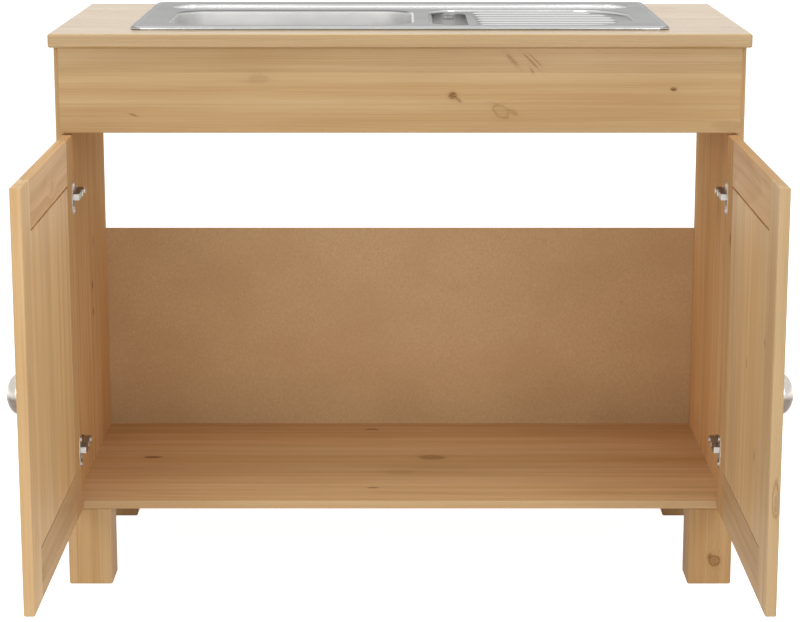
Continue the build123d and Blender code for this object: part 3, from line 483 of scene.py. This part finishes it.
def moulded(name, colour, dark, rough, grain=700.0):
    """Moulded plastic or rubber with a fine skin."""
    m = new_material(name)
    place = m.place()
    skin = m.grain(place, (grain, grain, grain), detail=3)
    cloud = m.grain(place, (30, 30, 30), detail=2)
    mixed = m.mix(m.scaled(cloud, 0.35, 0.7), colour, dark)
    return m.finish(bump=skin, bump_distance=0.00006, bump_strength=0.5, Base_Color=mixed,
                    Roughness=m.scaled(skin, 0.3, 0.7, rough - 0.06, rough + 0.06))


def bare_dowel():
    """Turned beech without lacquer."""
    m = new_material("beech_dowel")
    place = m.place()
    fibre = m.grain(place, (500, 500, 60), detail=3)
    colour = m.mix(m.scaled(fibre, 0.35, 0.65), srgb(206, 170, 130), srgb(182, 142, 102))
    return m.finish(bump=fibre, bump_distance=0.0001, bump_strength=0.5, Base_Color=colour, Roughness=0.6)


def give(name, material):
    """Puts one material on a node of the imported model."""
    node = nodes[name]
    node.data.materials.clear()
    node.data.materials.append(material)


# knots and stains, most of them where the photograph shows one, along and across the grain
WORKTOP_KNOTS = (knot(0.478, 0.090, 0.004, 2.4, fill=0.55, rim=0.2),
                 knot(-0.437, 0.33, 0.003, 2.2, fill=0.3, rim=0.1))
APRON_KNOTS = (knot(0.0750, 0.7365, 0.0044, 1.1, fill=0.95, rim=0.7, broken=0.9),
               knot(0.0830, 0.7310, 0.0022, 2.6, fill=0.5, rim=0.0, turn=-38, bend=0.0),
               knot(0.1450, 0.7135, 0.0074, 1.7, fill=0.12, rim=0.34, turn=-28, broken=0.85),
               knot(0.1620, 0.7120, 0.0035, 2.2, fill=0.30, rim=0.1, turn=-30, bend=0.3),
               knot(0.1600, 0.7870, 0.0028, 4.6, fill=0.42, rim=0.0, turn=-48, bend=0.8, broken=0.8),
               knot(0.1870, 0.7850, 0.0011, 15.0, fill=0.55, rim=0.0, turn=-45, bend=0.8, broken=0.6),
               knot(0.1930, 0.7870, 0.0009, 14.0, fill=0.45, rim=0.0, turn=-44, bend=0.0, broken=0.6),
               knot(0.1880, 0.7720, 0.0016, 3.0, fill=0.5, rim=0.0, turn=-60, bend=0.0, broken=0.8),
               knot(0.3900, 0.7455, 0.0023, 1.6, fill=1.0, rim=0.6),
               knot(-0.3810, 0.7090, 0.0012, 5.0, fill=0.6, rim=0.1, turn=-18),
               knot(-0.2020, 0.7610, 0.0080, 2.0, fill=0.16, rim=0.0, bend=0.2, broken=0.4),
               knot(0.4710, 0.6930, 0.0090, 3.0, fill=0.16, rim=0.0, bend=0.2, broken=0.3))
LEFT_SIDE_KNOTS = (knot(0.775, 0.10, 0.003, 3.5, fill=0.5),
                   knot(0.405, 0.262, 0.0050, 1.2, fill=0.80, rim=0.3),
                   knot(0.362, 0.264, 0.0045, 1.3, fill=0.75, rim=0.3),
                   knot(0.349, 0.045, 0.0042, 1.3, fill=0.65, rim=0.3),
                   knot(0.470, 0.285, 0.0040, 1.6, fill=0.35, rim=0.2))
RIGHT_SIDE_KNOTS = (knot(0.765, 0.160, 0.0022, 7.0, fill=0.45, rim=0.0),
                    knot(0.545, 0.165, 0.0020, 8.0, fill=0.5, rim=0.0),
                    knot(0.485, 0.100, 0.0020, 10.0, fill=0.5, rim=0.0))
FLOOR_KNOTS = (knot(-0.392, 0.245, 0.006, 2.0, fill=0.85, rim=0.4),
               knot(0.050, 0.245, 0.011, 1.8, fill=0.55, rim=0.2),
               knot(-0.041, 0.075, 0.003, 2.4, fill=0.7),
               knot(-0.046, 0.415, 0.004, 2.4, fill=0.6),
               knot(0.000, 0.160, 0.012, 2.0, fill=0.14, rim=0.0, bend=0.2))
LEG_KNOTS = (knot(0.037, 0.470, 0.0078, 1.05, fill=0.45, rim=0.65, broken=0.45),
             knot(0.044, 0.462, 0.0022, 2.2, fill=0.55, rim=0.2, turn=40))

# each leg's seed, knots, tone and tint
# painted shade: the legs in shade get lower tones and the LEG_SHADED tint
LEGS = {"front_left": (8, (), 0.98, LEG_FRONT), "front_right": (9, LEG_KNOTS, 0.79, LEG_SHADED),
        "rear_left": (10, (), 0.57, LEG_SHADED), "rear_right": (11, (), 0.57, LEG_SHADED)}

# each door's first seed, its tones and its knots
DOORS = {
    "left": {"seed": 20, "tone": 1.17, "free_tone": 1.20, "hinge_tone": 0.88,
             "panel": (), "free": (), "hinge": (),
             "top": (knot(-0.215, 0.640, 0.006, 2.2, fill=0.14, rim=0.2),)},
    "right": {"seed": 30, "tone": 1.06, "free_tone": 0.94, "hinge_tone": 0.88,
              "panel": (knot(0.465, -0.404, 0.003, 2.0, fill=0.7, rim=0.2),
                        knot(0.402, -0.253, 0.0036, 1.6, fill=0.55, rim=0.2),
                        knot(0.298, -0.345, 0.0036, 2.4, fill=0.50, rim=0.2)),
              "free": (knot(0.276, 0.4785, 0.0046, 5.0, fill=0.10, rim=0.42, broken=0.6, edge=True),
                       knot(0.272, 0.4790, 0.0020, 5.0, fill=0.20, rim=0.35, broken=0.6, edge=True)),
              "hinge": (knot(0.537, -0.060, 0.0048, 1.8, fill=0.80, rim=0.3),),
              "top": ()}}


def dress(name, *args, **settings):
    """Gives a board a pine material of its own, so that no two boards have the same figure."""
    give(name, pine("pine_" + name, *args, **settings))


def dress_boards():
    # the worktop's cap paints a sheen on its top
    dress("worktop", "X", "Y", 1, strip=0.0525, offset=0.0175, knots=WORKTOP_KNOTS, tone=0.80,
          sheen=1.0, rough=0.18, cap=WORKTOP_PAINTED_SHEEN)
    dress("front_apron", "X", "Z", 2, strip=0.046, offset=0.040, knots=APRON_KNOTS, tone=0.88)
    # painted shade: the boards inside take the SHADED tint
    dress("side_panel_left", "Z", "Y", 3, strip=0.046, offset=0.011, knots=LEFT_SIDE_KNOTS,
          tone=1.14, sheen=0.0, hue=SHADED, cap=FRONT_EDGE)
    dress("side_panel_right", "Z", "Y", 4, strip=0.046, offset=0.003, knots=RIGHT_SIDE_KNOTS,
          tone=1.27, sheen=0.0, hue=SHADED, cap=FRONT_EDGE)
    dress("bottom_panel", "X", "Y", 5, strip=0.048, offset=0.021, knots=FLOOR_KNOTS, tone=1.13,
          hue=SHADED, cap=FRONT_EDGE)
    dress("rear_stretcher", "X", "Z", 6, strip=0.040, offset=0.005)
    dress("apron_blocks", "Z", "X", 7, strip=0.060)
    for place, (seed, knots, tone, hue) in LEGS.items():
        dress(f"leg_{place}", "Z", "X", seed, strip=0.0325, offset=0.0375, knots=knots, tone=tone,
              hue=hue)


def dress_doors():
    """Upright grain in stiles and panels, level grain in rails."""
    for side, marks in DOORS.items():
        door, seed, tone = f"door_{side}", marks["seed"], marks["tone"]
        # painted shade: the hinge stiles get a darker tone and the HINGE_SIDE tint
        dress(f"{door}_hinge_stile", "Z", "Y", seed, strip=0.070, offset=0.066,
              knots=marks["hinge"], sheen=0.0, tone=marks["hinge_tone"], hue=HINGE_SIDE)
        dress(f"{door}_free_stile", "Z", "Y", seed + 1, strip=0.070, offset=0.062,
              knots=marks["free"], tone=marks["free_tone"])
        # painted shade: the rails darker than the panel, the bottom rail most, with the SHADED tint
        dress(f"{door}_top_rail", "Y", "Z", seed + 2, strip=0.066, offset=0.045,
              knots=marks["top"], tone=0.90 * tone, hue=SHADED, joints=RAIL_ENDS)
        dress(f"{door}_bottom_rail", "Y", "Z", seed + 3, strip=0.072, offset=0.01,
              tone=0.78 * tone, hue=SHADED, joints=RAIL_ENDS)
        dress(f"{door}_panel", "Z", "Y", seed + 4, strip=0.088, offset=0.03,
              knots=marks["panel"], figure=0.7, tone=tone)


def dress_fittings():
    """One material for each kind of fitting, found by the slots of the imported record."""
    give("back_panel", hardboard())
    hinge = steel("hinge_nickel", srgb(238, 235, 230), 0.36, "Z", 0.4, edge_tint=DARK_EDGE)
    fittings = {"beech_dowel": bare_dowel(),
                "zinc": steel("zinc", srgb(214, 212, 208), 0.40, "Z", 0.4),
                "nickel": handle_nickel(),
                "white_plastic": moulded("white_plastic", srgb(226, 226, 220), srgb(214, 214, 206), 0.42),
                "foam_seal": moulded("foam_seal", srgb(44, 44, 44), srgb(30, 30, 31), 0.75)}
    for row in frame["record"]["subparts"]:
        if row["material_slot"] in fittings:
            give(row["node"], hinge if "hinge_cup" in row["node"] else fittings[row["material_slot"]])
    arm = hinge_arm_plating()
    for place in ("upper_left", "upper_right", "lower_left", "lower_right"):
        give(f"hinge_arm_{place}", arm)


# ---------------------------------------------------------------- sink
def rounded_ring(x, y, radii, count=14):
    """Points round a rectangle with rounded corners, in order. radii: left and right."""
    points = []
    corners = ((x[1], y[0], -90, radii[1]), (x[1], y[1], 0, radii[1]),
               (x[0], y[1], 90, radii[0]), (x[0], y[0], 180, radii[0]))
    for cx, cy, start, radius in corners:
        mid_x = cx - math.copysign(radius, cx - (x[0] + x[1]) / 2)
        mid_y = cy - math.copysign(radius, cy - (y[0] + y[1]) / 2)
        for step in range(count + 1):
            turn = math.radians(start + 90 * step / count)
            points.append((mid_x + radius * math.cos(turn), mid_y + radius * math.sin(turn)))
    return points


class Sheet:
    """Collects rings of points into one smooth sheet of steel."""

    def __init__(self):
        self.mesh = bmesh.new()

    def ring(self, points, z):
        return [self.mesh.verts.new((x, y, z)) for x, y in points]

    def bridge(self, outer, inner):
        count = len(outer)
        for index in range(count):
            after = (index + 1) % count
            self.mesh.faces.new((outer[index], outer[after], inner[after], inner[index]))

    def fill(self, *loops):
        """Fills a flat area bounded by the given loops."""
        edges = []
        for loop in loops:
            for index, vert in enumerate(loop):
                after = loop[(index + 1) % len(loop)]
                edges.append(self.mesh.edges.get((vert, after)) or self.mesh.edges.new((vert, after)))
        bmesh.ops.triangle_fill(self.mesh, use_beauty=True, use_dissolve=False, edges=edges, normal=(0, 0, 1))

    def object(self, name, thickness):
        bmesh.ops.recalc_face_normals(self.mesh, faces=self.mesh.faces)
        data = bpy.data.meshes.new(name)
        self.mesh.to_mesh(data)
        self.mesh.free()
        for face in data.polygons:
            face.use_smooth = True
        made = bpy.data.objects.new(name, data)
        bpy.context.scene.collection.objects.link(made)
        solid = made.modifiers.new("sheet", "SOLIDIFY")
        solid.thickness = thickness
        solid.offset = -1.0
        return made


def hollow_profile(depth, edge_r, floor_r, steps=6):
    """Inset and depth down one wall: rounded edge, wall, rounded floor."""
    rows = [(-0.0012, 0.0), (-0.0004, 0.0)]
    for step in range(1, steps + 1):
        turn = math.radians(90 * step / steps)
        rows.append((edge_r * math.sin(turn), edge_r * (1 - math.cos(turn))))
    wall = depth - edge_r - floor_r
    for step in range(1, 4):
        rows.append((edge_r, edge_r + wall * step / 4))
    for step in range(steps + 1):
        turn = math.radians(90 * step / steps)
        rows.append((edge_r + floor_r * (1 - math.cos(turn)), depth - floor_r * (1 - math.sin(turn))))
    return rows


def divided(points, counts):
    """The ring with each of its sides cut into its count of equal parts."""
    result = []
    for index, (x, y) in enumerate(points):
        after_x, after_y = points[(index + 1) % len(points)]
        for part in range(counts[index]):
            share = part / counts[index]
            result.append((x + (after_x - x) * share, y + (after_y - y) * share))
    return result


def hollow_rings(sheet, x, y, radii, rows, level, longest=0.03):
    """Rings down a hollow. Returns the outermost and the innermost."""
    base = rounded_ring(x, y, radii)
    sides = zip(base, base[1:] + base[:1])
    counts = [max(1, round(math.dist(start, end) / longest)) for start, end in sides]
    made = []
    for inset, down in rows:
        inner_radii = [max(radius - inset, LEAST_CORNER) for radius in radii]
        points = rounded_ring((x[0] + inset, x[1] - inset), (y[0] + inset, y[1] - inset), inner_radii)
        made.append(sheet.ring(divided(points, counts), level - down))
    for outer, inner in zip(made, made[1:]):
        sheet.bridge(outer, inner)
    return made[0], made[-1]


def round_hole(sheet, middle, radius, level, count=48):
    """A ring of points for a round hole's edge."""
    turns = [math.tau * number / count for number in range(count)]
    points = [(middle[0] + radius * math.cos(turn), middle[1] + radius * math.sin(turn)) for turn in turns]
    return sheet.ring(points, level)


def drainer_ribs(sheet, floor_z):
    """Crowned ribs on the drainer's floor. Returns their outlines."""
    pitch = (DRAIN_Y[1] - DRAIN_Y[0] - 2 * RIB_MARGIN + RIB_GAP) / len(RIB_STARTS)
    rows = [(inset, -height) for inset, height in RIB_PROFILE]
    outlines = []
    for number, (start, end) in enumerate(zip(RIB_STARTS, RIB_ENDS)):
        y0 = DRAIN_Y[0] + RIB_MARGIN + number * pitch
        y = (y0, y0 + pitch - RIB_GAP)
        x = (SCRAP_X[1] + start * MM, DRAIN_X[1] - end * MM)
        outer, inner = hollow_rings(sheet, x, y, (RIB_CORNER, RIB_CORNER), rows, floor_z, longest=0.05)
        sheet.fill(inner)
        outlines.append(outer)
    return outlines


def sink_bead(sheet):
    """The raised bead round the sink and its turned-down edge. Returns the land's outline."""
    foot = LAND_Z - SEAL_TOP
    rows = [(0.0006, foot), (0.0, foot - 0.0003), (0.0, 0.0018), (0.0002, 0.0008), (0.0008, 0.0),
            (0.0018, -0.0006), (0.0032, -BEAD_RISE), (0.0050, -BEAD_RISE), (0.0066, -0.0008),
            (0.0080, -0.0004), (0.0092, -0.0001), (0.0104, 0.0), (0.0120, 0.0)]
    x = (-SINK_HALF, SINK_HALF)
    return hollow_rings(sheet, x, SINK_Y, (SINK_CORNER, SINK_CORNER), rows, LAND_Z)[1]


def middle_of(x, y):
    return sum(x) / 2, sum(y) / 2


def sink_sheet():
    """The whole sink as one pressed sheet."""
    sheet = Sheet()
    land = sink_bead(sheet)
    bowl_top, bowl_floor = hollow_rings(sheet, BOWL_X, BOWL_Y, (BOWL_CORNER, BOWL_CORNER),
                                        hollow_profile(BOWL_DEPTH, BOWL_EDGE, BOWL_FLOOR_R), LAND_Z)
    waste = round_hole(sheet, middle_of(BOWL_X, BOWL_Y), WASTE_HOLE, LAND_Z - BOWL_DEPTH)
    sheet.fill(bowl_floor, waste)
    ledge_top, ledge_floor = hollow_rings(sheet, (-LEDGE_HALF, LEDGE_HALF), LEDGE_Y,
                                          (LEDGE_CORNER, LEDGE_CORNER),
                                          hollow_profile(LEDGE_DEPTH, LEDGE_EDGE, LEDGE_EDGE), LAND_Z)
    sheet.fill(ledge_floor)
    drain_top, drain_floor = hollow_rings(sheet, DRAIN_X, DRAIN_Y, DRAIN_CORNERS,
                                          hollow_profile(DRAIN_DEPTH, DRAIN_EDGE, DRAIN_EDGE), LAND_Z)
    sheet.fill(land, bowl_top, ledge_top, drain_top)
    floor_z = LAND_Z - DRAIN_DEPTH
    scrap_rows = hollow_profile(SCRAP_DEPTH - DRAIN_DEPTH, SCRAP_EDGE, SCRAP_FLOOR_R)
    scrap_top, scrap_floor = hollow_rings(sheet, SCRAP_X, SCRAP_Y, (SCRAP_CORNER, SCRAP_CORNER),
                                          scrap_rows, floor_z)
    outlet = round_hole(sheet, middle_of(SCRAP_X, SCRAP_Y), SCRAP_HOLE, LAND_Z - SCRAP_DEPTH)
    sheet.fill(scrap_floor, outlet)
    sheet.fill(drain_floor, scrap_top, *drainer_ribs(sheet, floor_z))
    return sheet


def build_sink():
    """Puts the pressed sheet in the place of the sink's solid and dresses its wastes."""
    made = sink_sheet().object("sink_steel", SHEET)
    made.data.materials.append(sink_steel())
    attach(made, "cabinet")
    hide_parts("sink")
    polished = steel("stainless_waste", srgb(196, 196, 196), 0.24, "X", 0.5)
    for name in ("waste_body", "waste_basket", "scrap_waste", "overflow"):
        give(name, polished)


# ---------------------------------------------------------------- stage
def floor_material():
    """Pale grey that takes shadows, with a glow that only the camera and reflections see."""
    m = new_material("studio_floor")
    x, y, z = m.place()
    cloud = m.noise(m.vector(m.times(x, 3), m.times(y, 3), 0.0), detail=2)
    colour = m.mix(cloud, (0.86, 0.86, 0.86, 1.0), (0.84, 0.84, 0.84, 1.0))
    diffuse = m.node("ShaderNodeBsdfDiffuse", {"Color": colour}).outputs[0]
    glow = m.node("ShaderNodeEmission", {"Color": WHITE, "Strength": FLOOR_GLOW}).outputs[0]
    both = m.node("ShaderNodeAddShader", {0: diffuse, 1: glow}).outputs[0]
    mixed = m.node("ShaderNodeMixShader", {0: m.background_ray(), 1: diffuse, 2: both}).outputs[0]
    m.node("ShaderNodeOutputMaterial", {"Surface": mixed})
    return m.owner


def build_floor():
    reach = FLOOR_REACH
    corners = [(-reach, -reach, 0), (reach, -reach, 0), (reach, reach, 0), (-reach, reach, 0)]
    data = bpy.data.meshes.new("floor")
    data.from_pydata(corners, [], [(0, 1, 2, 3)])
    data.materials.append(floor_material())
    floor = bpy.data.objects.new("floor", data)
    bpy.context.scene.collection.objects.link(floor)


def build_world():
    """Even soft light. What the camera and reflections see is white low down, greyer overhead."""
    world = bpy.data.worlds.new("studio")
    bpy.context.scene.world = world
    m = Maker(world)
    soft = m.node("ShaderNodeBackground", {"Color": WHITE, "Strength": WORLD_LIGHT}).outputs[0]
    ramp = m.node("ShaderNodeValToRGB", {0: m.place("Generated")[2]})
    elements = ramp.color_ramp.elements
    while len(elements) < len(SKY_STOPS):
        elements.new(0.5)
    for element, (at, level) in zip(elements, SKY_STOPS):
        element.position = at
        element.color = (level, level, level, 1.0)
    white = m.node("ShaderNodeBackground", {"Color": ramp.outputs[0]}).outputs[0]
    mixed = m.node("ShaderNodeMixShader", {0: m.background_ray(), 1: soft, 2: white}).outputs[0]
    m.node("ShaderNodeOutputWorld", {"Surface": mixed})


def area_lamp(name, place, aim, size, power):
    lamp = bpy.data.lights.new(name, "AREA")
    lamp.shape = "RECTANGLE"
    lamp.size, lamp.size_y = size
    lamp.energy = power
    made = bpy.data.objects.new(name, lamp)
    made.location = place
    made.rotation_euler = (Vector(aim) - Vector(place)).to_track_quat("-Z", "Y").to_euler()
    bpy.context.scene.collection.objects.link(made)


def build_lights():
    for name, place, aim, size, power in LAMPS:
        area_lamp(name, place, aim, size, power)


def build_camera():
    data = bpy.data.cameras.new("camera")
    data.lens = CAMERA_LENS
    data.sensor_width = SENSOR
    data.clip_end = CAMERA_REACH
    camera = bpy.data.objects.new("camera", data)
    camera.location = CAMERA_PLACE
    camera.rotation_euler = (math.pi / 2 - CAMERA_DOWN, 0.0, 0.0)
    bpy.context.scene.collection.objects.link(camera)
    bpy.context.scene.camera = camera


build_camera()
build_world()
build_floor()
build_lights()
dress_boards()
dress_doors()
dress_fittings()
build_sink()
bpy.context.scene.view_settings.view_transform = "Standard"
